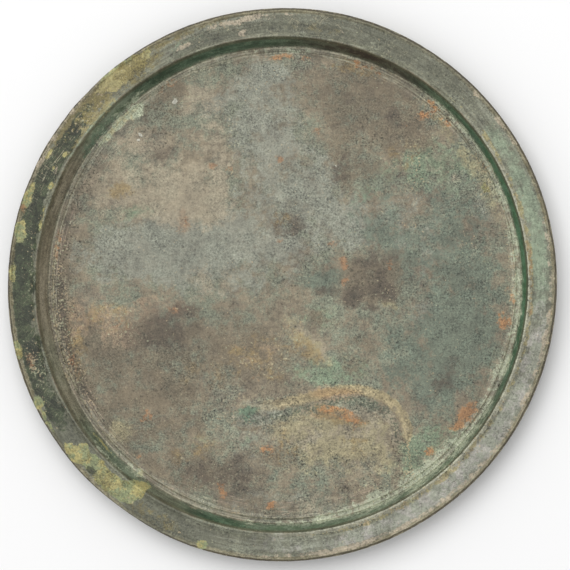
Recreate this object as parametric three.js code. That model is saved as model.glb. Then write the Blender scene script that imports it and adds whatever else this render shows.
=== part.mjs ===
// A round bronze mirror with a sunk face and a moulded rim, cast in one piece and turned on a
// lathe. It lies on its flat underside, face up: +Z is up, the origin is the centre of the
// underside, and +Y points to the twelve o'clock of the face. Millimetres.
import * as THREE from "three";

// ---- driving dimensions ----
const RADIUS = 90; // of the whole mirror
const LIP_RADIUS = 81.1; // crest of the lip round the sunk face
const FACE_RADIUS = 77.7; // of the face, out to its outer turned ring
const FACE_DEPTH = 8; // from the lip's crest down to the face
const FACE_THICKNESS = 1.8; // of the metal under the face's edge
const FACE_DISHING = 0.2; // how much thinner the middle has been polished
const WALL_THICKNESS = 1.6; // of the steep wall between face and rim
const RIM_THICKNESS = 1.5; // of the metal under the rim's hollow

// ---- mouldings ----
const RING_PITCH = 1.6; // between the two turned rings at the face's edge
const RING_WIDTH = 0.4; // across the top of each
const RING_HEIGHT = 0.3;
const RING_GROOVE = 0.25; // width of the fine groove that each ring rises from
const RING_MARGIN = 1; // from the inner ring's middle in to the plain face
const WALL_FOOT = 0.5; // from the outer ring's middle out to the wall
const WALL_FOOT_RISE = 0.1;
const LIP_ROUNDING = 0.45; // of the lip's crest
const LIP_END_ANGLE = 20; // where the crest runs down to the hollow, in degrees from level
const HOLLOW_RADIUS = 83.6; // where the rim's hollow is deepest
const HOLLOW_DEPTH = 1.1; // below the lip's crest
const HOLLOW_RISE = 0.3; // of the hollow's two sides above its deepest line
const HOLLOW_START = 0.9; // from the lip's crest out to the hollow
const HOLLOW_END = 3.2; // from the outer edge in to the hollow
const BEAD_RADIUS = 0.7; // of the rounded bead along the outer edge
const BEAD_BELOW_LIP = 0.5; // how far its top lies below the lip's crest
const BEAD_FOOT = 1.5; // from the outer edge in to the bead's foot
const BEAD_FOOT_RISE = 0.2; // of that foot above the bead's middle
const BEAD_START_ANGLE = 150; // where the bead rises from its foot, in degrees from level
const EDGE_CHAMFER = 0.4; // under the bead
const FOOT_ROUNDING = 1.5; // of the underside's outer corner
const BACK_LINE_RADIUS = 70; // of the one line turned on the underside
const BACK_LINE_WIDTH = 0.8;
const BACK_LINE_DEPTH = 0.3;

// ---- wear: where the thin outer edge has been eaten away or knocked in ----
const EDGE_LOSSES = [
  { clock: 135, spread: 7, depth: 0.4 },
  { clock: 232, spread: 16, depth: 0.4 },
  { clock: 150, spread: 4, depth: 0.2 },
];
const WEAR_REACH = 6; // how far in from the edge the outline's wear fades out

// ---- how finely round things are divided ----
const TURNS = 96;
const FACE_STEPS = 3;
const LIP_STEPS = 5;
const HOLLOW_STEPS = 7;
const BEAD_STEPS = 5;
const FOOT_STEPS = 4;

const faceZ = FACE_THICKNESS;
const lipZ = faceZ + FACE_DEPTH;
const hollowZ = lipZ - HOLLOW_DEPTH;
const rimUndersideZ = hollowZ - RIM_THICKNESS;
const beadZ = lipZ - BEAD_BELOW_LIP - BEAD_RADIUS;
const wallFootRadius = FACE_RADIUS + WALL_FOOT;

// Points of an arc in the profile's plane, from one angle to another, in degrees.
function arc(r, z, radius, from, to, steps) {
  return Array.from({ length: steps + 1 }, (_, i) => {
    const a = THREE.MathUtils.degToRad(from + ((to - from) * i) / steps);
    return new THREE.Vector2(r + radius * Math.cos(a), z + radius * Math.sin(a));
  });
}

// Points of a smooth curve through the given ones.
function smooth(points, steps) {
  return new THREE.SplineCurve(points.map(([r, z]) => new THREE.Vector2(r, z))).getPoints(steps);
}

// The face, hollowed a little towards the middle, out to the inner turned ring.
function faceProfile() {
  const edge = FACE_RADIUS - RING_PITCH - RING_MARGIN;
  return Array.from({ length: FACE_STEPS + 1 }, (_, i) => {
    const out = i / FACE_STEPS;
    return new THREE.Vector2(edge * out, faceZ - FACE_DISHING * (1 - out * out));
  });
}

// Two low rings turned in the face's edge, each rising from a fine groove.
function ringProfile() {
  return [FACE_RADIUS - RING_PITCH, FACE_RADIUS].flatMap((r) => [
    new THREE.Vector2(r - RING_WIDTH / 2 - RING_GROOVE, faceZ - RING_HEIGHT / 2),
    new THREE.Vector2(r - RING_WIDTH / 2, faceZ + RING_HEIGHT),
    new THREE.Vector2(r + RING_WIDTH / 2, faceZ + RING_HEIGHT),
  ]);
}

// The steep wall, the lip's rounded crest, the rim's hollow and the bead on the edge.
function rimProfile() {
  return [
    new THREE.Vector2(wallFootRadius, faceZ + WALL_FOOT_RISE),
    ...arc(LIP_RADIUS, lipZ - LIP_ROUNDING, LIP_ROUNDING, 180, LIP_END_ANGLE, LIP_STEPS),
    ...smooth(
      [
        [LIP_RADIUS + HOLLOW_START, hollowZ + HOLLOW_RISE],
        [HOLLOW_RADIUS, hollowZ],
        [RADIUS - HOLLOW_END, hollowZ + HOLLOW_RISE],
        [RADIUS - BEAD_FOOT, beadZ + BEAD_FOOT_RISE],
      ],
      HOLLOW_STEPS,
    ),
    ...arc(RADIUS - BEAD_RADIUS, beadZ, BEAD_RADIUS, BEAD_START_ANGLE, 0, BEAD_STEPS),
  ];
}

// The plain underside, from the bead back to the middle.
function undersideProfile() {
  const wallUnderTop = LIP_RADIUS + WALL_THICKNESS;
  const footRadius = wallFootRadius + WALL_THICKNESS;
  return [
    new THREE.Vector2(RADIUS, rimUndersideZ + EDGE_CHAMFER),
    new THREE.Vector2(RADIUS - EDGE_CHAMFER, rimUndersideZ),
    new THREE.Vector2(wallUnderTop, rimUndersideZ),
    ...arc(footRadius - FOOT_ROUNDING, FOOT_ROUNDING, FOOT_ROUNDING, 0, -90, FOOT_STEPS),
    new THREE.Vector2(BACK_LINE_RADIUS + BACK_LINE_WIDTH / 2, 0),
    new THREE.Vector2(BACK_LINE_RADIUS, BACK_LINE_DEPTH),
    new THREE.Vector2(BACK_LINE_RADIUS - BACK_LINE_WIDTH / 2, 0),
    new THREE.Vector2(0, 0),
  ];
}

// How much of the radius is missing at a place on the rim, in millimetres.
function edgeLoss(clock, radius) {
  const reach = THREE.MathUtils.smoothstep(radius, RADIUS - WEAR_REACH, RADIUS);
  return EDGE_LOSSES.reduce((sum, loss) => {
    const away = THREE.MathUtils.euclideanModulo(clock - loss.clock + 180, 360) - 180;
    return sum + reach * loss.depth * Math.exp(-((away / loss.spread) ** 2));
  }, 0);
}

// The turned body, with its edge worn. Clock angles run anticlockwise from +X, seen from above.
function mirrorGeometry() {
  const profile = [
    ...faceProfile(),
    ...ringProfile(),
    ...rimProfile(),
    ...undersideProfile(),
  ].reverse();
  const body = new THREE.LatheGeometry(profile, TURNS).rotateX(Math.PI / 2);
  const place = body.getAttribute("position");
  for (let i = 0; i < place.count; i++) {
    const [x, y] = [place.getX(i), place.getY(i)];
    const radius = Math.hypot(x, y);
    const clock = THREE.MathUtils.radToDeg(Math.atan2(y, x));
    const scale = radius > 0 ? 1 - edgeLoss(clock, radius) / radius : 1;
    place.setXY(i, x * scale, y * scale);
  }
  return body;
}

const bronze = new THREE.MeshStandardMaterial({
  color: 0x7f8270,
  roughness: 0.7,
  metalness: 0.3,
});

const mirror = new THREE.Mesh(mirrorGeometry(), bronze);
mirror.name = "mirror";

const part = new THREE.Group();
part.add(mirror);

export default part;
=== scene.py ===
import math

import bmesh
import bpy
import numpy as np
from mathutils import Matrix, Vector, noise


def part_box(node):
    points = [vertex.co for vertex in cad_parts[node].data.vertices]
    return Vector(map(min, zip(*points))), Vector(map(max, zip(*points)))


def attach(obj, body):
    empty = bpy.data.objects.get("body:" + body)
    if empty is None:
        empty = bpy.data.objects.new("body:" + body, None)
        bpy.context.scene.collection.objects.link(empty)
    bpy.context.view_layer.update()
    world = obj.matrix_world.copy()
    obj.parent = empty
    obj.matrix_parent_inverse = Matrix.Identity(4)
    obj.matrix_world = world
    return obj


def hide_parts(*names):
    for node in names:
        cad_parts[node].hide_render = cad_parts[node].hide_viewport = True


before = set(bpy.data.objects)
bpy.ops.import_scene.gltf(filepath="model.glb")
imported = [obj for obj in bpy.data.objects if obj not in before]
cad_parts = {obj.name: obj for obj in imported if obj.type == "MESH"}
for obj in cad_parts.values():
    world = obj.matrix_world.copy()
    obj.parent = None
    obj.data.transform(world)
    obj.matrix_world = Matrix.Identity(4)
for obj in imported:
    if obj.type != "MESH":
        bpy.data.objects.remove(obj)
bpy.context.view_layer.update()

# ==== The cast body =======================================================================
# The mirror is one casting in tin bronze: a sunk flat face, two turned rings at its edge, a
# steep wall, a lip, and a hollow rim that ends in a bead. It was turned true on a lathe, so
# its body is a profile spun about the axis.
MM = 0.001
mirror_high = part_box("mirror")[1]
radius = mirror_high.x
lip_top = mirror_high.z
lip_radius = radius - 8.9 * MM
lip_rounding = 0.45 * MM
face_radius = radius - 12.3 * MM
face_height = lip_top - 8 * MM
face_dishing = 0.2 * MM
ring_pitch = 1.6 * MM
ring_height = 0.3 * MM
ring_half_width = 0.45 * MM
wall_foot = face_radius + 0.5 * MM
wall_bottom = (wall_foot, face_height + 0.05 * MM)
wall_end = (lip_radius - lip_rounding - 0.1 * MM, lip_top - 0.7 * MM)
wall_thickness = 1.6 * MM
hollow_radius = radius - 6.4 * MM
hollow_height = lip_top - 1.1 * MM
bead_size = 0.7 * MM
bead_height = lip_top - 0.5 * MM - bead_size
hollow_course = ((lip_radius + 0.85 * MM, hollow_height + 0.4 * MM),
                 (lip_radius + 1.5 * MM, hollow_height + 0.08 * MM),
                 (hollow_radius, hollow_height),
                 (radius - 3.2 * MM, hollow_height + 0.3 * MM),
                 (radius - 1.9 * MM, bead_height + 0.25 * MM))
rim_underside = hollow_height - 1.5 * MM
edge_corner = ((radius, rim_underside + 0.7 * MM), (radius - 0.1 * MM, rim_underside + 0.3 * MM),
               (radius - 0.4 * MM, rim_underside))
rim_flat = (radius - 2.5 * MM, rim_underside)
wall_outside = (lip_radius + wall_thickness, rim_underside)
foot_rounding = 1.5 * MM
back_edge = (face_radius - 2 * MM, 0)
back_line_radius = radius - 20 * MM
back_line_half_width = 0.4 * MM
back_line_depth = 0.3 * MM
TURNS = 512
SECTORS = 8
SEAM = 0.001 * MM


def line(start, end, steps):
    """Points from start towards end, without the end itself."""
    return [Vector(start).lerp(Vector(end), i / steps) for i in range(steps)]


def arc(centre, size, start, end, steps):
    """Points round an arc of the profile, from one angle to another in degrees."""
    angles = (math.radians(start + (end - start) * i / steps) for i in range(steps + 1))
    return [Vector(centre) + size * Vector((math.cos(a), math.sin(a))) for a in angles]


def sweep(waypoints, steps):
    """Points of a smooth curve through the waypoints, by cubic pieces."""
    points = [Vector(p) for p in waypoints]
    points = [2 * points[0] - points[1], *points, 2 * points[-1] - points[-2]]
    curve = []
    for a, b, c, d in zip(points, points[1:], points[2:], points[3:]):
        for i in range(steps):
            t = i / steps
            curve.append(0.5 * (2 * b + (c - a) * t + (2 * a - 5 * b + 4 * c - d) * t**2
                                + (3 * b - a - 3 * c + d) * t**3))
    return curve


def turned_ring(middle, steps=6):
    """The section of one raised ring turned in the face, as a low rounded ridge."""
    shares = [i / steps for i in range(1, steps + 1)]
    return [Vector((middle + ring_half_width * (2 * s - 1),
                    face_height + ring_height * math.sin(math.pi * s))) for s in shares]


# The front, from the axis outwards. Its steps are short where the patina needs points.
face_edge = face_radius - ring_pitch - ring_half_width
face = [Vector((p.x, face_height - face_dishing * (1 - (p.x / face_edge) ** 2)))
        for p in line((0, 0), (face_edge, 0), steps=96)]
rings = [Vector((face_edge, face_height)), *turned_ring(face_radius - ring_pitch),
         *turned_ring(face_radius)]
wall = line(wall_bottom, wall_end, steps=9)
lip = arc((lip_radius, lip_top - lip_rounding), lip_rounding, start=165, end=25, steps=7)
hollow = sweep(hollow_course, steps=4)
bead = arc((radius - bead_size, bead_height), bead_size, start=165, end=0, steps=9)
front = [*face, *rings, *wall, *lip, *hollow, *bead]

# The underside, from the edge back to the axis, with one fine line turned in the back.
rim_back = [*map(Vector, edge_corner), *line(rim_flat, wall_outside, steps=4), Vector(wall_outside)]
foot_centre = (wall_foot + wall_thickness - foot_rounding, foot_rounding)
foot = arc(foot_centre, foot_rounding, start=0, end=-90, steps=5)
line_outside = (back_line_radius + back_line_half_width, 0)
line_inside = (back_line_radius - back_line_half_width, 0)
back = [*line(back_edge, line_outside, steps=4), Vector(line_outside),
        Vector((back_line_radius, back_line_depth)),
        *line(line_inside, (0, 0), steps=12), Vector((0, 0))]
underneath = [*rim_back, *foot, *back]

# An eighth of a turn is spun, and then what there is gets copied and turned three times.
body = bmesh.new()
shelter = body.verts.layers.float.new("underneath")
section = [body.verts.new((p.x, 0, p.y)) for p in front + underneath]
for point in section[len(front):]:
    point[shelter] = 1
chain = [body.edges.new(pair) for pair in zip(section, section[1:])]
bmesh.ops.spin(body, geom=section + chain, cent=(0, 0, 0), axis=(0, 0, 1),
               angle=math.tau / SECTORS, steps=TURNS // SECTORS)
for sectors_made in (1, 2, 4):
    everything = body.verts[:] + body.edges[:] + body.faces[:]
    copied = bmesh.ops.duplicate(body, geom=everything)["geom"]
    copied_points = [part for part in copied if isinstance(part, bmesh.types.BMVert)]
    turn = Matrix.Rotation(math.tau * sectors_made / SECTORS, 3, "Z")
    bmesh.ops.rotate(body, verts=copied_points, cent=(0, 0, 0), matrix=turn)
bmesh.ops.remove_doubles(body, verts=body.verts, dist=SEAM)
bmesh.ops.recalc_face_normals(body, faces=body.faces)
body.verts.index_update()
point_count = len(body.verts)


def facet_order(facet):
    """A number that only a facet's corners decide."""
    corners = [corner.index for corner in facet.verts]
    tie_break = sum(corners) / (len(corners) + 1) / point_count
    return min(corners) * point_count + max(corners) + tie_break


# Spinning leaves the facets in an order that changes with each run, so they are put in one.
body.faces.sort(key=facet_order)
mesh = bpy.data.meshes.new("mirror_patinated")
body.to_mesh(mesh)
body.free()
mesh.shade_smooth()
mirror = bpy.data.objects.new("mirror_patinated", mesh)
bpy.context.scene.collection.objects.link(mirror)

# ==== Wear, corrosion and crusts ==========================================================
# Burial has eaten the thin outer edge, and corrosion has left low crusts: both are moved in
# the body's own surface. Its points also carry the stains. Places are in mm on the face, or a
# clock angle in degrees, anticlockwise from three o'clock, with a distance from the centre.
count = len(mesh.vertices)
flat = np.empty(count * 3)
mesh.vertices.foreach_get("co", flat)
points = flat.reshape(-1, 3)
under = np.empty(count)
mesh.attributes["underneath"].data.foreach_get("value", under)
upper = 1 - under
from_axis = np.hypot(points[:, 0], points[:, 1])
SEED_STEP = np.array((7.3, 3.1, 5.7))
OCTAVE_FADE = 0.9
OCTAVE_STEP = 2.0


def wander(size, seed, octaves=3):
    """A smooth random value at each point of the body, from about -1 to 1; size in mm."""
    scaled = points / (size * MM) + seed * SEED_STEP
    return np.array([noise.fractal(p, OCTAVE_FADE, OCTAVE_STEP, octaves) for p in map(Vector, scaled)])


# Outlines stray at random from their plain shapes, by about these distances in mm, and round
# the rim by an angle in degrees as well.
drift_x = wander(size=14, seed=1, octaves=5)
drift_y = wander(size=14, seed=2, octaves=5)
patch_drift = 1.6
curve_drift = 0.5
upright_drift = 0.8
outward_drift = 0.5
clock_drift = 0.8
x = points[:, 0] / MM + patch_drift * drift_x
y = points[:, 1] / MM + patch_drift * drift_y
away = from_axis / MM + outward_drift * wander(size=3, seed=3)
clock = np.degrees(np.arctan2(points[:, 1], points[:, 0])) + clock_drift * wander(size=6, seed=4)


def fall(squared):
    """1 in the middle of a patch and about 0.4 at its half width, from the squared distance."""
    return np.exp(-(squared**1.5))


def clock_turn(middle):
    """The turn in degrees from a clock angle to each point, by the shorter way."""
    return (clock - middle + 180) % 360 - 180


def on_face(*patches):
    """How much of the patches each point has: (x, y, half length, half width, turn, share)."""
    amount = np.zeros(count)
    for middle_x, middle_y, length, width, turn, share in patches:
        c, s = math.cos(math.radians(turn)), math.sin(math.radians(turn))
        lengthwise = ((x - middle_x) * c + (y - middle_y) * s) / length
        crosswise = ((y - middle_y) * c - (x - middle_x) * s) / width
        amount += share * fall(lengthwise**2 + crosswise**2)
    return amount * upper


def round_rim(*patches):
    """How much of the patches each point has: (clock, distance out, half spread, half width, share)."""
    amount = np.zeros(count)
    for middle, out, spread, width, share in patches:
        amount += share * fall((clock_turn(middle) / spread) ** 2 + ((away - out) / width) ** 2)
    return amount * upper


def left_of(edge, softness=1.2):
    """1 on the left of an upright line across the mirror, and 0 on its right."""
    return ((edge - points[:, 0] / MM + upright_drift * drift_x) / softness + 0.5).clip(0, 1)


def along(waypoints, reach=9):
    """The distance in mm from a curve through the waypoints, more than 0 to its right."""
    curve = sweep(waypoints, steps=6)
    here_x = points[:, 0] / MM + curve_drift * drift_x
    here_y = points[:, 1] / MM + curve_drift * drift_y
    nearest = np.full(count, np.inf)
    side = np.zeros(count)
    for start, end in zip(curve, curve[1:]):
        way = end - start
        share = ((here_x - start.x) * way.x + (here_y - start.y) * way.y) / way.length_squared
        share = share.clip(0, 1)
        off_x = here_x - start.x - share * way.x
        off_y = here_y - start.y - share * way.y
        off = np.hypot(off_x, off_y)
        closer = off < nearest
        nearest[closer] = off[closer]
        side[closer] = np.sign(off_x * way.y - off_y * way.x)[closer]
    return (nearest * side).clip(-reach, reach)


# Losses of the outer edge: (clock, half spread in degrees, depth in mm). Where the depth is
# less than 0, the edge stands fuller. They fade out inwards over the worn width.
EDGE_WEAR = ((122, 9, 0.14), (135, 3.5, 0.3), (144, 4, 0.2), (157, 3, 0.16), (214, 6, 0.2),
             (234, 10, 0.42), (35, 22, 0.09), (75, 12, -0.2), (195, 15, -0.2), (287, 9, -0.14))
worn_width = 6
nibbled = 0.06
thinness = ((away - radius / MM + worn_width) / worn_width).clip(0, 1) ** 2
lost = nibbled * wander(size=1.6, seed=7)
for place, spread, depth in EDGE_WEAR:
    lost += depth * np.exp(-((clock_turn(place) / spread) ** 2))
inward = 1 - thinness * lost * MM / np.maximum(from_axis, MM)

# The stains: most say, from 0 to about 1, how much of one colour or deposit each point has.
stains = {}

# The upper left crusts end in an upright line, which stands further left nearer the face.
upper_crust_end = -42.3
inner_crust_end = -49.6
inner_crust_reach = 85.4
upper_crust = round_rim((124, 86.8, 5, 3, 1.2), (129, 86.5, 5, 3.4, 1), (133, 88, 4, 1.4, 0.2))
upper_crust *= np.where(away > inner_crust_reach, left_of(upper_crust_end), left_of(inner_crust_end))

# All low crusts of corrosion, most of them on the left of the rim.
stains["crusts"] = upper_crust + round_rim(
    (177, 88.4, 2.2, 1.2, 1.1), (168.4, 87.6, 2.6, 1.9, 1.4), (160.5, 88, 2.6, 1.3, 1.2),
    (193.5, 88.8, 2.2, 1.2, 1.1), (205.3, 88.4, 1.7, 1.6, 1.3), (151, 87.8, 1.6, 0.8, 0.7),
    (218.8, 87.6, 2.2, 1.8, 1.3), (222, 85.4, 2.4, 2.4, 1.1), (224.5, 83.4, 2.2, 1.8, 1.1),
    (228, 85.8, 3.2, 3, 1.4), (231.8, 85, 3, 4, 1.5), (234.6, 82.3, 2.1, 2.8, 1.4),
    (219.4, 84.4, 1.4, 2, 1), (235.3, 79.6, 1.1, 2, 1.2), (253, 88.3, 1, 1.6, 1.2),
    (149, 83, 1, 0.8, 0.9), (156.7, 82.4, 1.2, 0.9, 1), (162, 82, 1.2, 0.6, 0.6),
    (166, 81.8, 1.6, 0.6, 0.6), (153, 84.4, 1, 0.7, 0.7), (210, 88.8, 3, 0.6, 0.6),
    (222, 78.8, 4, 0.6, 0.6),
) + on_face((66.5, 31, 1.6, 4, 15, 0.6))

# The yellow skin of the crusts and the stained bronze beside them.
stains["ochre"] = round_rim(
    (128, 86, 11, 3.6, 1), (138, 85.4, 9, 3, 0.6), (230, 87, 4, 2, 0.3),
) * left_of(upper_crust_end)

# Dark hollows in the lower left crusts.
stains["hollows"] = round_rim(
    (224.4, 87, 0.9, 1, 1.3), (227, 83.4, 0.5, 0.5, 0.7), (235, 85, 0.6, 0.8, 0.6),
)

# Pale green powder along the turned rings.
stains["mint"] = round_rim(
    (134, 78.5, 7, 1, 0.8), (306, 76, 22, 2.2, 0.8), (300, 77.4, 14, 1.6, 0.5),
    (325, 79, 14, 1.4, 0.3), (350, 75.8, 18, 1.4, 0.5), (89, 76.8, 12, 0.5, 0.9),
    (305, 79, 14, 1.4, 0.4), (273, 78, 10, 0.8, 1.3), (232, 77.8, 4, 0.8, 1),
    (10, 77, 16, 1.4, 0.6), (350, 77.6, 20, 1.2, 0.6), (285, 77, 9, 1.4, 0.4),
    (225, 79.5, 8, 1.4, 0.3), (93, 77.5, 11, 0.6, 0.7), (42, 77.7, 20, 0.8, 1),
    (330, 77.9, 14, 0.8, 0.6),
)

# Cream deposits at the foot of the wall, by the upper left and the lower left crusts.
stains["cream"] = round_rim(
    (136, 76.2, 7.5, 1.4, 1.5), (130.5, 75, 2.6, 2, 1.1), (232.6, 77.2, 1.6, 1.2, 0.9),
)

# Spots of copper red.
stains["copper"] = on_face(
    (-1, 75.3, 4, 1.2, 0, 1.4), (8, 74.6, 3, 0.9, -5, 0.9), (26, 72, 4, 1, -20, 0.8),
    (31, 69.5, 2.4, 1, -25, 0.7), (48.5, 59, 3.4, 1.2, -40, 1.1), (45.5, 55, 4, 1.5, 20, 1.1),
    (41, 52.5, 2, 0.9, 0, 0.7), (53, 52, 2.4, 0.9, -45, 0.7), (-23.3, 38.8, 1.7, 1.4, 0, 1.3),
    (-18.8, 38, 1.5, 1.1, 0, 1), (-1.5, 41, 2, 1.4, 0, 0.9), (12, 51, 2.6, 1, 0, 0.6),
    (16.5, 12.5, 1.8, 1.6, 0, 0.9), (18.5, 6.5, 2, 3, 0, 0.95), (20, 1.2, 1.7, 1.9, 0, 1.1),
    (35, 6, 2, 2, 0, 0.8), (-37, -8.5, 2.2, 1.4, 0, 0.35), (-68, -26, 1.8, 3.2, 25, 0.55),
    (-44.6, -43.6, 2, 3.2, -15, 0.9), (-21, -66.5, 1.8, 2.6, 20, 1), (-6, -53.5, 2.2, 1.9, 0, 1),
    (-4, -71.5, 1.9, 1.1, 0, 1.1), (72.2, -12.2, 2.5, 2.2, 60, 1.5), (75, -6, 1, 2.2, 0, 1),
    (73, -2, 0.9, 1.6, 0, 0.6), (60.4, -43, 4.2, 2.6, 50, 1.5), (56.5, -47, 2.6, 1.1, 0, 1.1),
    (48.5, -54, 1.4, 2.2, 0, 1.2), (-47, -57, 1, 1.4, 0, 0.6), (-38.5, 64.5, 3.8, 1.4, 40, 0.9),
    (17, -41.4, 8, 1.8, -3, 0.4), (22, -44, 5, 1, -6, 0.5), (23.5, -45, 0.8, 2.4, -10, 0.7),
    (-1, 14.5, 1.6, 0.9, 0, 0.5), (-9, -29, 3, 3, 0, 0.3), (-14, -20, 3, 2, 0, 0.35),
    (1.3, -14.5, 1.2, 1.1, 0, 0.9), (-55, -12, 5, 2, 0, 0.3), (-32, 21, 1, 3, 0, 0.6),
    (-26, -22, 3, 1.4, 0, 0.4),
) + round_rim(
    (275, 82, 1.4, 0.9, 0.9), (163.2, 88.4, 1, 0.8, 1), (196.5, 86, 2.4, 1.8, 0.7),
    (170, 76, 5, 1.2, 0.4), (200, 75, 5, 1.2, 0.4), (0, 81.9, 12, 0.6, 0.5),
)

# The face's cool grey cast, mostly over its upper half.
stains["cool"] = on_face(
    (-6, 56, 12, 20, 0, 1), (5, 34, 17, 12, 0, 0.9), (-8, 15, 22, 7, 0, 0.8),
    (-36, 14, 20, 10, 0, 1.2), (-57, 9, 18, 8, -5, 0.9), (-20, 3, 25, 8, 0, 0.6),
    (20, 20, 12, 12, 0, 0.7), (45, 14, 14, 20, 0, 0.4), (-24, 60, 8, 5, 0, 0.5),
    (0, 12, 8, 4, 0, 0.5), (-13, 25, 8, 8, 0, 0.5), (66, 24, 4, 12, 20, 0.6),
    (5, -72, 30, 6, 0, 0.4), (-8, -42, 9, 3.4, 12, 1), (-12, -48, 12, 4, 10, 0.5),
    (-38, 10, 14, 8, 0, 0.3), (-12, -55, 8, 7, 0, 0.4), (48, -12, 6, 6, 0, 0.4),
    (-4, 70, 10, 4, 0, 0.5), (24, 60, 7, 5, 0, 0.4), (48, 57, 5, 5, 0, 0.4),
    (48, -60, 6, 6, 0, 0.6),
)

# The face's darker green-grey cast, mostly on its right.
stains["teal"] = on_face(
    (55, 28, 14, 22, 0, 0.6), (60, -10, 12, 24, 0, 1), (45, -22, 16, 16, 0, 0.8),
    (12, 3, 9, 5, 0, 0.5), (-11, -42, 4, 1.6, 10, 1.7), (40, 10, 12, 10, 0, 0.6),
    (30, 22, 9, 14, 0, 0.6), (52, -36, 8, 12, -20, 0.4), (30, 36, 8, 6, 0, 0.5),
    (13, 1, 7, 5, 0, 0.6), (40, 2, 4, 8, 0, 0.4), (2, -64, 26, 5, -8, 0.3), (60, 46, 6, 7, 0, 0.5),
)

# Two small patches of dark green: low on the face, and under the upper left crusts.
stains["jade"] = on_face(
    (-11, -41.6, 4.6, 1.5, 8, 1.3), (-9, -44.5, 7, 1.2, 10, 0.6),
) + round_rim((137, 78.4, 9, 1.5, 1.1))

# The face's green cast, in stretches on the right and at the bottom.
stains["leaf"] = on_face(
    (15, -29, 14, 6, 5, 0.85), (46, -57, 14, 8, 45, 0.75), (60, -50, 6, 6, 0, 0.4),
    (46, 39, 7, 9, 0, 0.75), (41, -52, 4, 12, 15, 0.45), (-48, 24, 7, 2.4, 20, 0.9),
    (60, 38, 9, 12, 0, 0.6), (30, 33, 10, 5, 30, 0.5), (10, -10, 12, 6, 0, 0.4),
    (5, -50, 6, 6, 0, 0.5), (-20, -52, 16, 5, 15, 0.4),
)

# The face's pale tan cast: the wedge at the upper left, and stretches at the bottom. The wedge
# has an upright edge on its right, which fades out below it.
wedge_edge = -18.6
wedge_bottom = 30
wedge_fade = 6
past_wedge = 0.55
below_wedge = ((wedge_bottom - y) / wedge_fade).clip(0, 1)
stains["tan"] = on_face(
    (-53, 34, 13, 7, 0, 0.6), (-27, 37, 14, 14, 0, 0.5), (-35, 26, 18, 7, 0, 0.95),
    (-42, 31, 20, 9, 0, 0.5), (-21, 44, 2.6, 12, 0, 0.5), (-26, 23, 8, 5, 0, 0.3),
    (-24, 0, 9, 7, 0, 0.5), (0, -49, 9, 5, 0, 0.9), (23, -49, 15, 8, 0, 1.2),
    (24, -60, 8, 5, 0, 0.5), (50, -58, 5, 5, 45, 0.5), (-48, 47, 8, 6, 0, 0.8),
    (12, -46, 10, 6, 0, 0.3), (53, 37, 6, 8, 35, 0.8), (10, -72, 10, 4, 0, 0.6),
    (-26, 60, 8, 7, 0, 0.8), (8, -18, 10, 3.5, -50, 0.9), (-20, -47, 10, 8, 0, 0.3),
    (-28, 63, 6, 3, 0, 0.5), (24, -42, 9, 4, 0, 0.5), (24, -47, 12, 5, 0, 0.3),
) * (past_wedge + (1 - past_wedge) * np.maximum(left_of(wedge_edge), below_wedge))

# The face's yellow cast, mostly at the bottom.
stains["straw"] = round_rim((30, 73.4, 16, 3, 0.8)) + on_face(
    (20, -49, 16, 8, -5, 0.5), (27, -55, 12, 7, 10, 0.6), (9, -57, 10, 6, 0, 0.55),
    (9, -20, 9.6, 3, -46, 0.8), (3, -47, 8, 5, 0, 0.9), (-20, -50, 12, 3, 10, 0.3),
    (0, -12, 6, 5, 0, 0.3), (-55, -48.5, 4.6, 3.4, 20, 1.1), (35.5, -6.5, 2.4, 1.8, 0, 0.9),
    (-12, -36, 8, 4, 0, 0.2),
)

# The face's yellow-brown cast, in patches.
stains["amber"] = on_face(
    (-53, 31, 6, 3, 0, 0.8), (-8, -24, 12, 9, 0, 0.4), (-62, -10, 12, 6, 0, 0.4),
    (9, -22, 3, 8, 40, 0.6), (25, -52, 8, 4, -15, 0.3), (-32, -55, 10, 6, 0, 0.3),
    (17, -43, 9, 3.4, -8, 0.9), (-69, -24, 5, 9, 15, 0.9), (40, 42, 6, 6, 0, 0.4),
    (-28, -30, 10, 8, 0, 0.2), (0, -52, 6, 6, 0, 0.4), (-0.5, 21.5, 4, 3, 0, 0.6),
    (50, 56, 8, 4, -45, 0.4), (25, 71, 14, 3, -18, 0.5), (66, 8, 3, 10, 0, 0.15),
)

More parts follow.
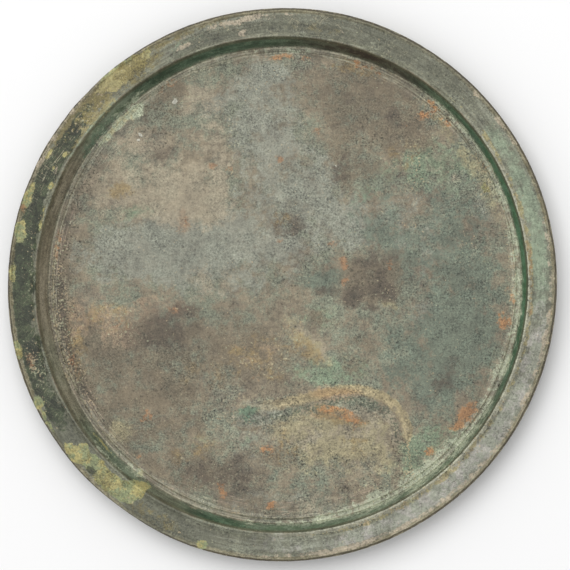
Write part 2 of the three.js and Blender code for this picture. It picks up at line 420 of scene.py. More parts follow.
# The face's brown cast, broad on the lower left and in blots elsewhere.
stains["umber"] = on_face(
    (-45, -18, 22, 9, 0, 0.8), (-64, -24, 12, 10, 0, 0.7), (-4, -24, 10, 9, 0, 0.85),
    (-40, -32, 20, 8, 0, 0.3), (-44, -44, 24, 14, 0, 0.75), (-30, -28, 16, 8, 0, 0.3),
    (-2, -54, 7, 5, 0, 0.7), (27, 64, 16, 10, -20, 0.75), (20, 48, 8, 16, 0, 0.8),
    (-40, 50, 12, 12, 0, 0.2), (-37, 61, 6, 5, 0, 0.6), (12, -12, 7, 6, 0, 0.5),
    (24, -22, 8, 8, 0, 0.5), (-66, -12, 8, 6, 0, 0.35), (6, 40, 8, 8, 0, 0.3),
    (-27, -60, 12, 7, 0, 0.8), (-9, -72, 12, 4, 0, 0.8), (24, -72, 6, 3, 0, 0.4),
    (-70, 0, 5, 18, 0, 0.7), (39, 48, 9, 8, 0, 0.75), (30, 36, 8, 6, 0, 0.5), (0, 37, 6, 5, 0, 0.4),
    (-22, -12, 10, 8, 0, 0.4), (20, -56, 14, 6, 10, 0.4), (-55, 33, 5, 5, 0, 0.3),
    (60, 45, 10, 8, -45, 0.3), (40, 52, 12, 10, 0, 0.45), (5, 63, 12, 8, 0, 0.3),
    (1, 21, 7, 5, 0, 0.7), (30, 2, 13, 9, 0, 0.9), (-13, -23, 10, 9, 0, 0.7),
) + round_rim((186, 75, 28, 3.4, 1.3), (208, 75, 20, 3, 0.8), (122, 74, 8, 2.4, 0.6))

# The darkest brown blots.
stains["dusk"] = on_face(
    (1.5, 20, 6.5, 4.4, 0, 0.35), (4.5, 17.2, 3.6, 2.4, 30, 0.8), (27, 5.5, 7, 5, 0, 0.75),
    (33, 1.5, 3.6, 7.4, 0, 0.6), (23.6, -4.4, 3, 3.2, 0, 1.4), (36, -3, 2.6, 3, 30, 1.2),
    (29, -8.4, 2.8, 1.2, 0, 0.9), (15, -2.4, 7, 2.4, -5, 0.7), (30, -2, 5, 3, 0, 0.5),
    (37, 9, 2.4, 2, 0, 0.7), (20, 38, 3.6, 7, 0, 0.9), (-24, -61, 8, 4, 0, 0.4),
    (38, 54, 5, 4, 0, 0.7), (27, 62, 12, 7, 0, 0.4), (-35, -12, 9, 6, 0, 0.8),
    (-47, -15, 8, 6, 0, 0.5), (-36, -19, 8, 4, -20, 0.5), (-20, -63, 16, 7, 0, 0.6),
    (-43, 54, 6, 6, 0, 0.35), (-45, -48, 10, 6, 0, 0.3), (-39, 43, 4, 4, 30, 0.7),
    (52, 1, 1.8, 1.5, 0, 0.7), (20, -67, 3, 1.5, 0, 0.8), (-15, -58, 2, 1.5, 0, 0.6),
    (54, -30, 8, 4, 60, 0.5), (56, 34, 5, 10, 15, 0.2), (60, 18, 5, 5, 0, 0.4),
    (38, 48, 5, 5, 0, 0.3),
) + round_rim((190, 73.8, 26, 1.8, 0.8), (192, 76.2, 24, 2.4, 0.5), (165, 76.4, 10, 2.4, 0.6))

# The face's faint red cast.
stains["rose"] = on_face(
    (-60, -12, 18, 9, 0, 0.65), (-40, -7, 9, 4, 0, 0.5), (-8, -21, 8, 6, 0, 0.4),
    (-33, 20, 3, 5, 0, 0.7), (-5, 40, 5, 3, 0, 0.3), (17, -35.5, 10, 2.6, 4, 1.2),
    (18, -42.5, 8, 2.2, -4, 0.8),
)

# How thickly pale crumbs are scattered.
stains["flecks"] = on_face(
    (43, 38, 8, 12, 0, 0.6), (40, -55, 5, 14, 20, 0.9), (66, 34, 5, 10, 20, 0.9),
    (28, -64, 16, 6, 15, 0.6), (36, -3, 4, 5, 0, 0.5), (-57, -12, 12, 6, 0, 0.5),
    (41, 19, 3, 2, 0, 0.9), (4, -14, 5, 6, 0, 0.6), (-29, 62, 5, 4, 0, 0.8),
    (-17, 47, 2, 10, 0, 0.6), (-6, 66, 8, 6, 0, 0.4), (-12, -38, 14, 3, 8, 0.6),
    (-10, -46, 12, 4, 0, 0.6), (-50, -66, 8, 5, 45, 0.4), (-10, -25, 13, 10, 0, 0.4),
    (-20, -63, 6, 5, 0, 0.4), (60, 10, 4, 16, 0, 0.4),
) + round_rim(
    (190, 74.5, 26, 3.6, 1.15), (188, 76.6, 24, 1.2, 0.4), (5, 75.5, 26, 2, 0.9),
    (60, 75.5, 26, 2, 0.4), (320, 80.5, 40, 1, 0.5), (255, 76, 30, 1.6, 0.5),
    (130, 76, 24, 1.6, 0.4), (175, 82.4, 26, 1, 0.5), (305, 82.2, 36, 1, 1.1),
    (15, 82, 24, 0.8, 0.9), (350, 88.6, 40, 0.8, 0.9), (105, 86, 10, 3, 0.5), (138, 85, 14, 4, 0.6),
    (198, 85, 6, 2.4, 1.2),
)

# How thickly dark crumbs are scattered.
stains["soot"] = on_face(
    (28, 2, 10, 8, 0, 0.7), (30, 47, 6, 4, 0, 0.8), (32, 31, 4, 3, 0, 0.7),
    (-42, 53, 8, 11, -30, 0.8), (30, -64, 12, 4, 10, 0.8), (20, -67, 3, 1.6, 0, 0.9),
    (-40, -30, 26, 14, 0, 0.3), (38, -56, 3, 12, 20, 0.7), (14, -38, 20, 1.6, -3, 0.5),
    (57, -30, 6, 8, 0, 0.6), (23.5, -4.5, 3, 3, 0, 0.6), (-15, -58, 3, 2, 0, 0.6),
    (52, 1, 1.4, 1.2, 0, 0.9),
) + round_rim(
    (190, 74, 28, 4, 1.2), (152, 74, 12, 4, 0.8), (305, 82, 36, 0.9, 0.35), (160, 85, 30, 3, 0.5),
    (105, 85, 14, 3, 0.6), (30, 88.6, 50, 0.7, 0.5),
)

# The rim's smooth dark green, on its left.
stains["night"] = round_rim(
    (176, 85.6, 20, 4.2, 1.2), (156, 85, 14, 3, 1), (198, 85.6, 10, 4.4, 1), (209, 84.6, 5, 3, 0.5),
    (146, 84, 8, 2.6, 1), (108, 88.4, 12, 0.6, 0.5), (140, 86, 6, 1.4, 0.7),
    (136, 87.4, 6, 1.4, 0.5),
)

# The rim's dark grey, at the top and at the lower left.
stains["slate"] = round_rim(
    (62, 86, 24, 5, 0.8), (92, 83.5, 16, 2.4, 0.9), (243, 85, 11, 5, 1.2), (214, 85, 8, 5, 1.4),
    (262, 85, 12, 4, 0.4), (107, 83, 9, 1.8, 0.9), (98, 85, 14, 4, 0.3), (80, 87.4, 26, 1, 0.35),
    (240, 84.5, 6, 5, 0.9),
)

# The rim's pale green, on the right and in places at the top.
stains["verdure"] = round_rim(
    (17, 85, 20, 3.5, 0.9), (358, 85, 10, 3.5, 0.6), (88, 86, 10, 2, 0.3), (108, 84, 12, 3.4, 0.45),
    (140, 80.6, 12, 1.6, 0.7),
)

# The rim's pale grey, at the lower right and the bottom.
stains["frost"] = round_rim(
    (312, 85.5, 24, 4, 1.2), (344, 85.5, 18, 4, 0.8), (284, 86, 12, 3, 0.4), (271, 84, 8, 4, 0.5),
)

# The rim's yellow-brown, mostly at the upper left.
stains["olive"] = round_rim(
    (112, 88, 11, 1.4, 0.9), (137, 86.6, 14, 3, 1), (124, 84, 8, 2.8, 0.7), (142, 88, 10, 1.4, 0.8),
    (82, 84, 7, 2, 0.4), (240, 86, 8, 3, 0.5),
)

# The wall's nearly black patina, at the upper right and on the left, deepened with painted shade where
# the wall faces away from the lamp.
stains["wall_black_and_shade"] = round_rim((71, 79.5, 17, 3, 1), (174, 79.5, 14, 3, 0.9))

# The wall's green.
stains["fen"] = round_rim(
    (17, 79.5, 22, 3, 0.9), (105, 79.5, 28, 3, 0.25), (265, 79.5, 22, 3, 0.4),
    (345, 79.5, 20, 3, 0.6), (48, 79.5, 10, 3, 0.3),
)

# The wall's pale brown, mostly on the left.
stains["silt"] = round_rim(
    (196, 79.5, 20, 3.4, 1.15), (165, 79.5, 24, 3, 0.8), (150, 79.5, 12, 3, 0.3),
    (240, 79.5, 8, 3, 0.4),
)

# The wall's pale green-grey, mostly at the lower right.
stains["wash"] = round_rim(
    (306, 79.5, 28, 3, 0.9), (137, 79, 9, 3, 0.9), (225, 79.5, 12, 3, 0.5),
    (270, 79.5, 10, 3, 0.45), (199, 79.5, 8, 3, 0.35),
)

# Pale specks on the rim, and pale along the outer edge: partly wear, partly a painted highlight where
# the edge's rounding faces the lamp.
stains["edge_specks_and_glint"] = round_rim(
    (285, 88.3, 20, 0.8, 0.9), (345, 88.2, 30, 0.8, 0.8), (310, 88.2, 14, 0.8, 0.7),
    (135, 89.2, 14, 0.8, 0.7), (38, 88.7, 10, 0.8, 0.5), (150, 89, 8, 0.8, 0.5),
    (99, 87, 7, 0.9, 1.2), (95, 88.1, 3.5, 0.6, 1.2), (98.2, 83, 0.9, 1.1, 1.1),
    (75.6, 84.2, 0.5, 0.6, 0.8), (112.5, 84, 1.2, 0.6, 0.9), (88, 88.2, 1.4, 0.5, 0.8),
)

# Where a highlight is painted along the lip.
stains["lip_glint"] = round_rim(
    (310, 81.4, 36, 2, 1.2), (5, 81.4, 36, 2, 1), (272, 81.4, 12, 2, 0.15), (225, 81.4, 20, 2, 0.2),
    (98, 81.4, 16, 2, 0.4),
)

# Yellow dirt along the lip.
stains["mustard"] = round_rim(
    (310, 82.4, 34, 0.9, 0.6), (20, 82, 26, 0.8, 0.8), (345, 82, 16, 0.7, 0.6),
    (160, 81.4, 12, 0.5, 0.4), (140, 82, 8, 0.8, 0.7), (134, 84, 10, 4, 0.5),
)

# How much coarser the grain is than elsewhere; where it is less than 0, it is finer.
stains["grit"] = on_face(
    (10, -54, 46, 20, -5, 0.5), (62, 5, 14, 50, 0, 0.35), (50, 48, 14, 14, 0, 0.5),
    (0, 73, 44, 6, 0, 0.3), (-70, 5, 7, 40, 0, 0.2), (10, -36, 22, 8, 0, 0.3),
    (-28, 2, 26, 24, 0, -0.3),
)

# A few specks of chalk.
stains["chalk"] = on_face(
    (-36.5, 59, 1, 1, 0, 1.5), (-46.8, 50.6, 0.5, 0.6, 0, 1.1), (-47.5, 49.3, 0.5, 0.6, 0, 1.2),
    (17, 39, 0.6, 0.5, 0, 0.7), (-33, 57.5, 0.5, 0.5, 0, 0.9),
) + round_rim((154, 88.2, 0.4, 0.6, 1))

# How plainly the curved trace shows: its left end is faint.
trace_start = -14
trace_fade = 20
faintest = 0.2
stains["band"] = ((x - trace_start) / trace_fade).clip(faintest, 1)

# How far each point is from the curved trace at the bottom of the face, in mm.
stains["trace"] = along([
    (-13, -41), (0, -38.5), (10, -36.4), (18, -34.4), (25, -34), (31, -35.6), (36.6, -39.2),
    (40, -44.5), (41, -50),
])

# Where the fine turning lines show.
stains["etching"] = round_rim(
    (250, 74.5, 60, 4.5, 1.2), (180, 75, 30, 3, 0.6), (40, 76.5, 70, 2, 0.8),
    (124, 86, 18, 2.6, 0.9), (150, 85, 14, 4, 0.8), (345, 85, 14, 3, 0.3), (150, 73.5, 18, 5, 1.1),
    (335, 74.5, 30, 3, 0.9), (100, 75, 30, 3, 0.6),
)

# Where there are fine scratches.
stains["scuffs"] = round_rim(
    (150, 85, 20, 4, 1.4), (80, 85.5, 8, 4, 1.3), (196, 85, 16, 4, 0.7), (100, 85, 16, 4, 0.8),
    (66, 85, 16, 4, 0.6), (345, 85, 8, 3, 0.4),
) + on_face((0, 0, 72, 72, 0, 0.35), (-62, 20, 12, 30, 10, 0.4))

# The patina reads each of them from the body's points.
for name, values in stains.items():
    mesh.attributes.new(name, "FLOAT", "POINT").data.foreach_set("value", values.astype(np.float32))

# Last, the edge is worn back and the crusts are raised, lumpy and up to about 0.3 mm high.
crust_height = 0.14
crust_lumps = 0.12
points[:, :2] *= inward[:, None]
raised = stains["crusts"].clip(0, 1) * (crust_height + crust_lumps * wander(size=1.1, seed=5))
points[:, 2] += raised * MM * upper
mesh.vertices.foreach_set("co", points.ravel())
mesh.update()


# ==== The patina ==========================================================================
# Bronze that has turned grey-green and brown in the ground. Its casts lie over each other as
# thin films, and then come the turned lines, the deposits, the scratches and the grain. The
# share, or the last factor of a mask, is the most that a colour covers of what lies under it.
class Shade:
    """A socket of the patina's nodes: sums written with it add Math nodes."""

    def __init__(self, tree, socket=None):
        self.tree, self.socket = tree, socket

    def node(self, kind, sockets, output=0, **settings):
        """A new node with these settings, and values or links in these sockets."""
        made = self.tree.nodes.new("ShaderNode" + kind)
        for name, value in settings.items():
            setattr(made, name, value)
        for key, value in sockets.items():
            if isinstance(value, Shade):
                self.tree.links.new(value.socket, made.inputs[key])
            else:
                made.inputs[key].default_value = value
        return Shade(self.tree, made.outputs[output]) if made.outputs else None

    def math(self, operation, *values):
        return self.node("Math", dict(enumerate(values)), operation=operation)

    def __add__(self, other):
        return self.math("ADD", self, other)

    def __sub__(self, other):
        return self.math("SUBTRACT", self, other)

    def __rsub__(self, other):
        return self.math("SUBTRACT", other, self)

    def __mul__(self, other):
        return self.math("MULTIPLY", self, other)

    __radd__ = __add__
    __rmul__ = __mul__

    def __abs__(self):
        return self.math("ABSOLUTE", self)

    def rise(self, low, high):
        """0 below low, 1 above high, and a soft step between."""
        return self.node("MapRange", {"Value": self, "From Min": low, "From Max": high},
                         interpolation_type="SMOOTHSTEP")

    def under(self, colour, amount):
        """This colour, covered by another as far as the amount says."""
        return mix(amount, self, colour)

    def lit(self, amount):
        """This colour, made lighter or darker, or this place, drawn larger or smaller."""
        return self.node("VectorMath", {0: self, "Scale": amount}, operation="SCALE")


metal = bpy.data.materials.new("patinated_bronze")
metal.use_nodes = True
metal.node_tree.nodes.clear()
nodes = Shade(metal.node_tree)
spot = nodes.node("TexCoord", {}, output="Object").lit(1 / MM)
out = nodes.node("VectorMath", {0: spot}, operation="LENGTH", output="Value")


def tint(red, green, blue):
    """A colour in parts of 255, as the linear light that a shader takes."""
    return (*((part / 255) ** 2.2 for part in (red, green, blue)), 1)


def mix(amount, low, high):
    """The low colour where the amount is 0, the high one where it is 1."""
    return nodes.node("Mix", {0: amount, 6: low, 7: high}, output=2, data_type="RGBA")


def field(name):
    """One of the values that the body carries at its points."""
    return nodes.node("Attribute", {}, output="Fac", attribute_name=name)


def clouding(place, scale, detail, roughness):
    """Random clouding about 0, mostly from -1 to 1: plain noise keeps close to its middle."""
    middle = 0.5
    spread = 14
    noisy = nodes.node("TexNoise", {"Vector": place, "Scale": scale, "Detail": detail,
                                    "Roughness": roughness})
    return (noisy - middle) * spread


def moved(place, stretch, seed):
    """The place, stretched, and taken to the part of the noise that belongs to a seed."""
    shift = (seed * 31.7, seed * 17.3, seed * 9.1)
    return nodes.node("VectorMath", {0: place, 1: stretch, 2: shift}, operation="MULTIPLY_ADD")


def grain(size, detail, roughness, seed=0, stretch=(1, 1, 1)):
    """Clouding whose largest patches have a size in mm."""
    return clouding(moved(spot, stretch, seed), 1 / size, detail, roughness)


def turned(length, width, detail, seed=0):
    """Random streaks along the turning lines, of a length and a width in mm near the wall."""
    wall_distance = 80
    shift = seed * 5.3
    round_way = nodes.node("VectorMath", {0: spot}, operation="NORMALIZE").lit(wall_distance / length)
    outward = nodes.node("CombineXYZ", {"Z": out * (1 / width) + shift})
    both = nodes.node("VectorMath", {0: round_way, 1: outward}, operation="ADD")
    return clouding(both, scale=1.0, detail=detail, roughness=0.6)


def near(distance, half_width, softness):
    """1 on a line that has this distance from here, and 0 past its half width."""
    return (half_width - abs(distance)).rise(0, softness)


def scratched(angle, length, width, seed):
    """Thin broken scratches that run one way, turned by an angle in degrees."""
    turned_spot = nodes.node("VectorRotate", {"Vector": spot, "Angle": math.radians(angle)})
    drawn_out = moved(turned_spot, (1 / length, 1 / width, 1 / length), seed)
    hairs = clouding(drawn_out, scale=1.0, detail=1.0, roughness=0.5)
    return near(hairs, half_width=0.3, softness=0.3)


fine = grain(6, detail=7, roughness=0.9)
dust = grain(0.6, detail=1.5, roughness=0.9, seed=6)
speckle = grain(2.2, detail=4, roughness=0.8, seed=1)
cloud = grain(24, detail=6, roughness=0.8, seed=2)
hue = grain(11, detail=6, roughness=0.8, seed=3)
wet = grain(7, detail=5, roughness=0.78, seed=4)
damp = grain(5, detail=5, roughness=0.78, seed=5)
brown = grain(16, detail=6, roughness=0.85, seed=7)
streak = turned(14, width=0.7, detail=3)
brushed = grain(9, detail=3, roughness=0.7, seed=8, stretch=(12, 2, 1))
crumbs = grain(0.75, detail=1, roughness=0.5, seed=11)
specks = grain(0.75, detail=1, roughness=0.5, seed=12)
brushed_over = grain(9, detail=3, roughness=0.7, seed=13, stretch=(1.5, 9, 1))


def veil(below, name, colour, share=0.9, broken=0.26, dusty=0.1, low=0.2, high=1.0, by=wet):
    """The layers so far, under a thin film that lies where its field is strong.

    The field is broken up by a clouding and by speckle, except where it is faint. The film
    begins to show at the strength low and is full at high.
    """
    faint = 0.3
    here = field(name)
    amount = here + (by * broken + speckle * dusty) * here.rise(0, faint)
    return below.under(colour, amount.rise(low, high) * share)


# The bare patina, with the casts of the face over it.
layers = mix(hue.rise(-1.2, 1.2), tint(142, 131, 110), tint(131, 135, 116))
layers = layers.under(tint(116, 107, 94), brown.rise(0.2, 1.8) * 0.6)
layers = veil(layers, "cool", tint(145, 147, 133), share=0.8)
layers = veil(layers, "teal", tint(108, 119, 104), share=0.85, by=damp)
layers = veil(layers, "leaf", tint(128, 146, 119), share=0.8)
layers = veil(layers, "tan", tint(168, 157, 134), share=0.8, broken=0.3, low=0.1, high=1.15, by=damp)
layers = veil(layers, "umber", tint(120, 109, 90), share=0.8, by=damp)
layers = veil(layers, "straw", tint(160, 151, 118), share=0.8)
layers = veil(layers, "rose", tint(156, 135, 111), share=0.8)
layers = veil(layers, "amber", tint(150, 129, 88), share=0.7, by=damp)
layers = veil(layers, "dusk", tint(90, 81, 70), share=0.8, broken=0.3, low=0.1, high=1.1)

# The curved trace: a pale ridge with a painted highlight on its crest, a thin painted shadow line
# outside its bend and another inside, and further in a mottled dark band and a brown line. Its middle
# is redder.
trace = field("trace") + speckle * 0.25
band = field("band")
mottled = (specks * 0.5 + wet * 0.4 + 0.5).rise(0, 1)
ruddy = field("rose").rise(0.3, 1.1)
dark_band = near(trace - 3.6, half_width=2.0, softness=1.4) * mottled
brown_line = near(trace - 6.4, half_width=0.8, softness=0.5) * damp.rise(-0.4, 0.8)
ridge = near(trace, half_width=2.2, softness=1.2) * wet.rise(-2.6, -0.8) * band
# A painted highlight on the ridge's crest.
trace_highlight = near(trace - 0.6, half_width=0.6, softness=0.5) * damp.rise(-1.2, 0.4) * band
# Painted shadow lines on either side of the ridge.
trace_shadow_outer = near(trace + 0.9, half_width=0.4, softness=0.4) * damp.rise(-0.4, 0.8) * band
trace_shadow_inner = near(trace - 1.9, half_width=0.3, softness=0.3) * wet.rise(0.6, -0.6) * band
ridge_tone = mix(ruddy, tint(170, 156, 120), tint(166, 140, 102))
trace_highlight_tone = mix(ruddy, tint(196, 180, 142), tint(184, 158, 116))
layers = layers.under(tint(88, 96, 78), dark_band * 0.75)
layers = layers.under(tint(108, 94, 72), brown_line * 0.5)
layers = layers.under(ridge_tone, ridge * 0.9)
layers = layers.under(trace_highlight_tone, trace_highlight * 0.7)
layers = layers.under(tint(134, 120, 90), trace_shadow_outer * 0.6)
layers = layers.under(tint(128, 106, 78), trace_shadow_inner * 0.5)

# Distances from the centre in mm. The value out is measured straight to a point, so that the
# height of the lip and of the edge adds about 0.5 mm there.
inner_ring = (face_radius - ring_pitch) / MM
outer_ring = face_radius / MM
lip_line = lip_radius / MM
outer_edge = radius / MM
roughly = out + speckle * 0.07

# The rim: streaked grey-green with its own casts.
on_rim = roughly.rise(lip_line + 0.1, lip_line + 0.7)
rim_tone = mix(streak.rise(-1, 1), tint(119, 120, 102), tint(134, 136, 119))
frost_tone = mix(damp.rise(-0.9, 0.5), tint(174, 171, 161), tint(152, 155, 139))
night_tone = mix(damp.rise(-0.8, 0.8), tint(50, 56, 42), tint(68, 77, 55))
layers = layers.under(rim_tone, on_rim * 0.92)
layers = veil(layers, "verdure", tint(143, 156, 132), share=0.95, dusty=0.08)
layers = veil(layers, "frost", frost_tone, share=0.95, dusty=0.06)
layers = veil(layers, "slate", tint(101, 102, 87), share=0.9)
layers = veil(layers, "olive", tint(122, 112, 74), share=0.9)
layers = veil(layers, "night", night_tone, share=0.95, low=0.3, high=0.8)

# The wall: dark green where nothing else lies on it. It reaches higher where the lip's highlight is
# painted.
above_wall = (out - field("lip_glint") * 0.35 + speckle * 0.05).rise(lip_line - 0.25, lip_line + 0.1)
on_wall = roughly.rise(outer_ring + 0.2, outer_ring + 0.8) * (1 - above_wall)
wall_tone = mix((streak + damp).rise(-1.4, 1.4), tint(56, 70, 55), tint(90, 104, 84))
fen_tone = mix(damp.rise(-1, 1), tint(64, 108, 72), tint(88, 128, 98))
wall_black_and_shade_tone = mix(damp.rise(-0.5, 0.9), tint(62, 52, 40), tint(84, 84, 66))
silt_tone = mix(streak.rise(-1, 1), tint(126, 118, 98), tint(146, 138, 118))
wash_tone = mix(damp.rise(-1, 1), tint(112, 128, 102), tint(144, 154, 132))
layers = layers.under(wall_tone, on_wall)
layers = layers.under(fen_tone, on_wall * field("fen"))
# Nearly black patina, darkened further as painted shade on the wall's side away from the lamp.
layers = layers.under(wall_black_and_shade_tone, on_wall * field("wall_black_and_shade"))
layers = layers.under(silt_tone, on_wall * field("silt"))
layers = layers.under(wash_tone, on_wall * field("wash"))

# The turned rings: streaks over both, painted light in the groove between them that lifts its shade,
# and a pale line on the crest of each, partly wear and partly a painted highlight. They are dull where
# the silt is.
on_rings = near(out - (inner_ring + 0.5), half_width=2.6, softness=1.8)
groove_fill_light = near(out - (inner_ring + 0.7), half_width=0.3, softness=0.3)
outer_crest_wear_and_glint = near(out - (outer_ring + 0.05), half_width=0.4, softness=0.3)
inner_crest_wear_and_glint = near(out - (inner_ring + 0.05), half_width=0.4, softness=0.3)
bare_rings = 1 - field("silt") * 0.8
layers = layers.under(tint(112, 110, 94), on_rings * streak.rise(0.1, 1.2) * 0.5)
layers = layers.under(tint(180, 177, 156), on_rings * bare_rings * streak.rise(0.3, -1.0) * 0.6)
# Painted light in the groove, and painted highlights with wear on the ring crests.
layers = layers.under(tint(168, 164, 144), groove_fill_light * 0.3)
layers = layers.under(tint(186, 182, 158), outer_crest_wear_and_glint * bare_rings * (wet + 0.9).rise(-1, 1) * 0.8)
layers = layers.under(tint(176, 172, 148), inner_crest_wear_and_glint * (damp + 0.4).rise(-1, 1) * 0.6)

# Fine turning lines, pale and dark, broken off at random.
turning = field("etching").rise(0.1, 0.8)
etched = near(turned(40, width=1.5, detail=2, seed=2), half_width=0.24, softness=0.2) * turning
scored = near(turned(40, width=1.8, detail=2, seed=5), half_width=0.2, softness=0.16) * turning
etched_tone = mix(hue.rise(-0.5, 0.5), tint(182, 162, 142), tint(180, 176, 150))
layers = layers.under(etched_tone, etched * wet.rise(-1, 0.6) * 0.7)
layers = layers.under(tint(92, 84, 66), scored * damp.rise(-1, 0.8) * 0.6)

# The lip: painted shadow lines under it and beside its crest, a painted highlight on the crest, and
# dirt along it.
# Painted shadows: a dark line at the top of the wall just under the lip, and another beside the lip's
# crest where its highlight is painted.
shade_under_lip = near(out - (lip_line - 0.3), half_width=0.6, softness=0.4)
lip_shadow = near(out - (lip_line + 0.1), half_width=0.4, softness=0.3)
# A painted highlight on the lip's crest.
lip_highlight = near(roughly - (lip_line + 0.9), half_width=0.75, softness=0.35)
layers = layers.under(tint(92, 88, 66), shade_under_lip * 0.6)
layers = layers.under(tint(80, 82, 62), lip_shadow * field("lip_glint").rise(0.2, 0.8) * 0.8)
layers = layers.under(tint(194, 192, 170), lip_highlight * field("lip_glint").rise(0.1, 0.9) * 0.7)
layers = veil(layers, "mustard", tint(158, 148, 106), share=0.8, broken=0.3, dusty=0.35,
              low=0.4, high=0.9)

# The bead: worn pale on top, with painted shade along its outermost line.
on_bead = (out + speckle * 0.16).rise(outer_edge - 1.4, outer_edge - 0.9)
worn = 0.75 - field("slate").rise(0, 0.8) * 0.5
bead_tone = mix(damp.rise(-0.8, 0.8), tint(128, 120, 92), tint(160, 152, 126))
# Painted shade on the outer side of the bead.
edge_shade_line = near(out - (outer_edge + 0.15) + damp * 0.12, half_width=0.4, softness=0.25)
layers = layers.under(bead_tone, on_bead * worn)
layers = layers.under(tint(66, 58, 40), edge_shade_line * 0.85)
# Pale specks and wear, with a painted highlight along the outer edge.
layers = veil(layers, "edge_specks_and_glint", tint(180, 168, 146), share=0.9, broken=0.3, dusty=0.3,
              low=0.3, high=0.9)

# Deposits, crusts and copper.
cream_tone = mix(hue.rise(-0.6, 0.6), tint(202, 196, 154), tint(194, 202, 172))
copper_tone = mix(field("grit").rise(-0.1, 0.3), tint(152, 118, 88), tint(184, 132, 86))
layers = veil(layers, "jade", tint(98, 124, 102), share=0.75, broken=0.3, dusty=0.2,
              low=0.4, high=1.1)
layers = veil(layers, "mint", tint(180, 186, 160), share=0.8, broken=0.4, dusty=0.35,
              low=0.35, high=1.05)
layers = veil(layers, "cream", cream_tone, share=0.85, broken=0.1, dusty=0.08, low=0.45, high=0.95)
crust_tone = mix(damp.rise(-0.5, 0.5), tint(144, 152, 112), tint(176, 167, 112))
crust_tone = crust_tone.under(tint(178, 165, 116), field("ochre").rise(0.3, 0.8) * 0.75)
crust_tone = crust_tone.under(tint(134, 124, 76), hue.rise(0.2, 1.0) * 0.6)
cracks = near(fine, half_width=0.3, softness=0.3) * wet.rise(-0.5, 0.8)
crust_tone = crust_tone.under(tint(118, 106, 66), cracks * 0.6)
layers = veil(layers, "crusts", crust_tone, share=0.97, broken=0.16, dusty=0.14, low=0.42, high=0.55)
layers = veil(layers, "ochre", tint(128, 118, 76), share=0.8, broken=0.4, dusty=0.3,
              low=0.5, high=1.1, by=hue)
layers = layers.under(tint(70, 74, 52), field("hollows").rise(0.3, 0.7) * 0.8)
layers = veil(layers, "copper", copper_tone, share=0.8, broken=0.3, dusty=0.3, low=0.3, high=1.2)

# Pale crumbs, dark specks, scratches and chalk.
fleck_tone = mix(damp.rise(-1, 1), tint(186, 166, 132), tint(168, 170, 140))
fleck_amount = (crumbs * 0.6 + wet * 0.25 + field("flecks") * 1.4 - 1.75).rise(0, 0.8)
soot_amount = (specks * 0.6 + damp * 0.25 + field("soot") * 1.4 - 1.7).rise(0, 0.8)
layers = layers.under(fleck_tone, fleck_amount * 0.7)
layers = layers.under(tint(72, 68, 54), soot_amount * 0.75)
scuffs = (scratched(35, length=14, width=0.9, seed=21) * wet.rise(-0.4, 0.8)
          + scratched(-50, length=12, width=0.9, seed=22) * damp.rise(-0.4, 0.8))
gouges = (scratched(12, length=16, width=1.0, seed=23) * wet.rise(0, -1)
          + scratched(75, length=14, width=1.0, seed=24) * damp.rise(0, -1))
layers = layers.under(tint(176, 168, 140), scuffs * field("scuffs") * 0.45)
layers = layers.under(tint(84, 80, 64), gouges * field("scuffs") * 0.35)
layers = layers.under(tint(206, 204, 188), field("chalk").rise(0.4, 0.7) * 0.85)

# The grain lightens and darkens all of it. It is coarse on gritty ground, and slight where the
# rim is smooth.
pits = grain(1.4, detail=2, roughness=0.5, seed=9).rise(2.2, 3.0)
polished = (field("frost") + field("verdure")).rise(0, 1) * 0.45
gritty = 1 + field("grit")
sandy = (1 + hue * 0.4) * (1 - polished) * gritty * (1 - field("tan") * 0.25)
tone = 0.83 + fine * gritty * 0.115 + dust * sandy * 0.105
for shading, share in ((speckle, 0.04), (cloud, 0.05), (streak, 0.02 + on_rim * 0.02), (wet, 0.025),
                       (damp, 0.025), (brushed, 0.025), (brushed_over, 0.025)):
    tone = tone + shading * share
tone = tone - pits * 0.25
layers = layers.lit(tone)
back_tone = mix(cloud.rise(-1, 1), tint(92, 92, 70), tint(120, 118, 96)).lit(tone)
colour = layers.under(back_tone, field("underneath"))
height = fine * 0.04 + dust * 0.02 + streak * 0.015 - pits * 0.4
relief = 0.2 * MM
bump = nodes.node("Bump", {"Height": height, "Strength": 0.6, "Distance": relief}, output="Normal")
surface = nodes.node("BsdfPrincipled", {"Base Color": colour, "Roughness": 0.62 + fine * 0.03,
                                        "Normal": bump})
nodes.node("OutputMaterial", {"Surface": surface})
mesh.materials.append(metal)

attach(mirror, "root")
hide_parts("mirror")

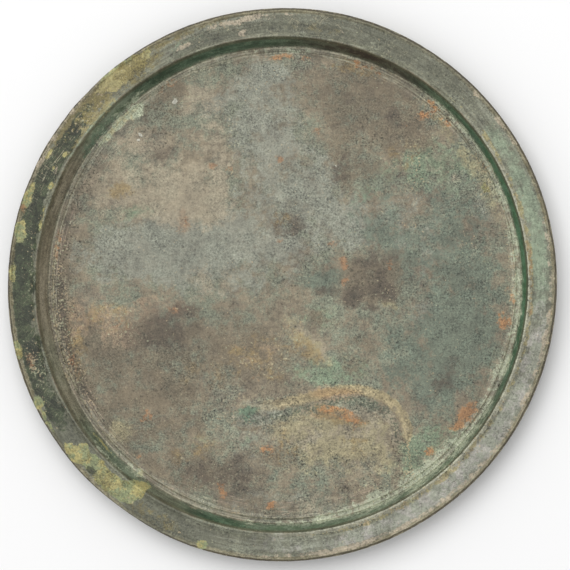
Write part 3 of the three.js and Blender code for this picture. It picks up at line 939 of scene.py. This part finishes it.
# ==== The table top, the light and the camera =============================================
# A plain pale table, a wide soft lamp high over the twelve o'clock side with even light from
# all round, and a camera that looks down with a lean of eight degrees to the three o'clock side.
table_half_width = 3
table = bmesh.new()
bmesh.ops.create_grid(table, x_segments=1, y_segments=1, size=table_half_width)
table_mesh = bpy.data.meshes.new("table")
table.to_mesh(table_mesh)
table.free()
floor = bpy.data.objects.new("table", table_mesh)
bpy.context.scene.collection.objects.link(floor)
pale = bpy.data.materials.new("table_white")
pale.use_nodes = True
paint = pale.node_tree.nodes["Principled BSDF"]
off_white = (0.9, 0.9, 0.9, 1)
paint.inputs["Base Color"].default_value = off_white
paint.inputs["Roughness"].default_value = 0.8
table_mesh.materials.append(pale)


def toward(clock_angle, height_angle):
    """The direction from the mirror to a place at these angles in degrees."""
    c, h = math.radians(clock_angle), math.radians(height_angle)
    return Vector((math.cos(c) * math.cos(h), math.sin(c) * math.cos(h), math.sin(h)))


to_lamp = toward(clock_angle=105, height_angle=64)
lamp_distance = 1.6
key = bpy.data.lights.new("key", "AREA")
key.energy = 13.5
key.size = 1.4
lamp = bpy.data.objects.new("key", key)
lamp.location = to_lamp * lamp_distance
lamp.rotation_mode = "QUATERNION"
lamp.rotation_quaternion = to_lamp.to_track_quat("Z", "Y")
bpy.context.scene.collection.objects.link(lamp)

world = bpy.data.worlds.new("studio")
bpy.context.scene.world = world
world.use_nodes = True
sky = world.node_tree.nodes["Background"]
sky.inputs["Color"].default_value = (1, 1, 1, 1)
sky.inputs["Strength"].default_value = 0.72
bpy.context.scene.view_settings.view_transform = "Standard"

lean = 7.94
back_off = toward(clock_angle=-16.9, height_angle=90 - lean)
right = Vector((0, 1, 0)).cross(back_off).normalized()
up = back_off.cross(right)
camera_distance = 1.4
aim = Vector((1.6, -0.3, 8.6)) * MM
camera_data = bpy.data.cameras.new("camera")
camera_data.lens = 272
camera_data.sensor_width = 36
camera_data.clip_start = 0.05
camera_data.clip_end = 20
camera = bpy.data.objects.new("camera", camera_data)
facing = Matrix((right, up, back_off)).transposed().to_4x4()
camera.matrix_world = Matrix.Translation(aim + back_off * camera_distance) @ facing
bpy.context.scene.collection.objects.link(camera)
bpy.context.scene.camera = camera
